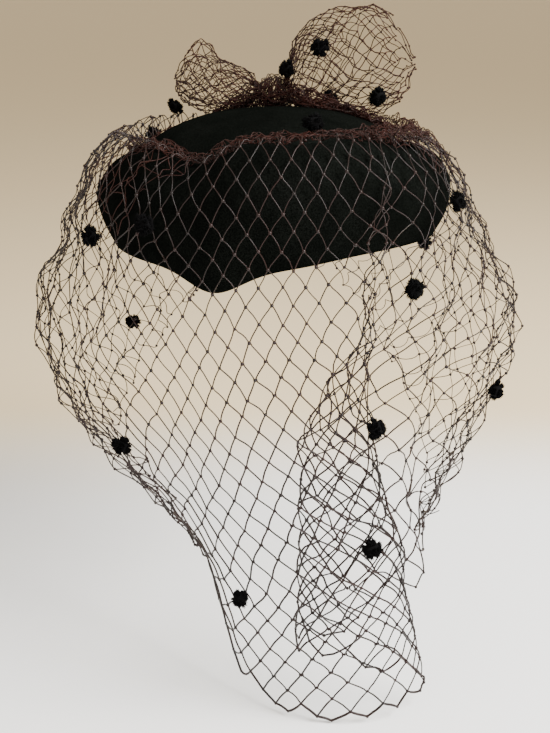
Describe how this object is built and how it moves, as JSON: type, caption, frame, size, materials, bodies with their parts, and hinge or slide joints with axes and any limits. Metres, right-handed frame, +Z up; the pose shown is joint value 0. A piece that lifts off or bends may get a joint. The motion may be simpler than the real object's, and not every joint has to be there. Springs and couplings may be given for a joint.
{
  "type": "cocktail hat with net veil",
  "caption": "Low felt cocktail hat with a turned-up rounded cuff, a dotted net veil that hangs longest in front, and a net bow at the back of the crown.",
  "frame": {"origin": "centre of the head opening, level with the felt rim at the back, where the hat sits on the head", "axes": "+Z up through the crown; -Y to the front, where the veil is longest; +X towards the wearer's left"},
  "size_m": [0.2503, 0.2234, 0.3354],
  "materials": {
    "felt": "matt black wool felt with a short nap",
    "net": "dark brown open diamond net of fine twisted thread",
    "dots": "black chenille pile"
  },
  "bodies": {
    "root": {"crown": "felt", "cuff": "felt", "gathered_edge": "net", "veil": "net", "bow_loop_right": "net", "bow_loop_left": "net", "bow_knot": "net", "dot_01": "dots", "dot_02": "dots", "dot_03": "dots", "dot_04": "dots", "dot_05": "dots", "dot_06": "dots", "dot_07": "dots", "dot_08": "dots", "dot_09": "dots", "dot_10": "dots", "dot_11": "dots", "dot_12": "dots", "dot_13": "dots", "dot_14": "dots", "dot_15": "dots", "dot_16": "dots", "dot_17": "dots", "dot_18": "dots"}
  },
  "joints": []
}
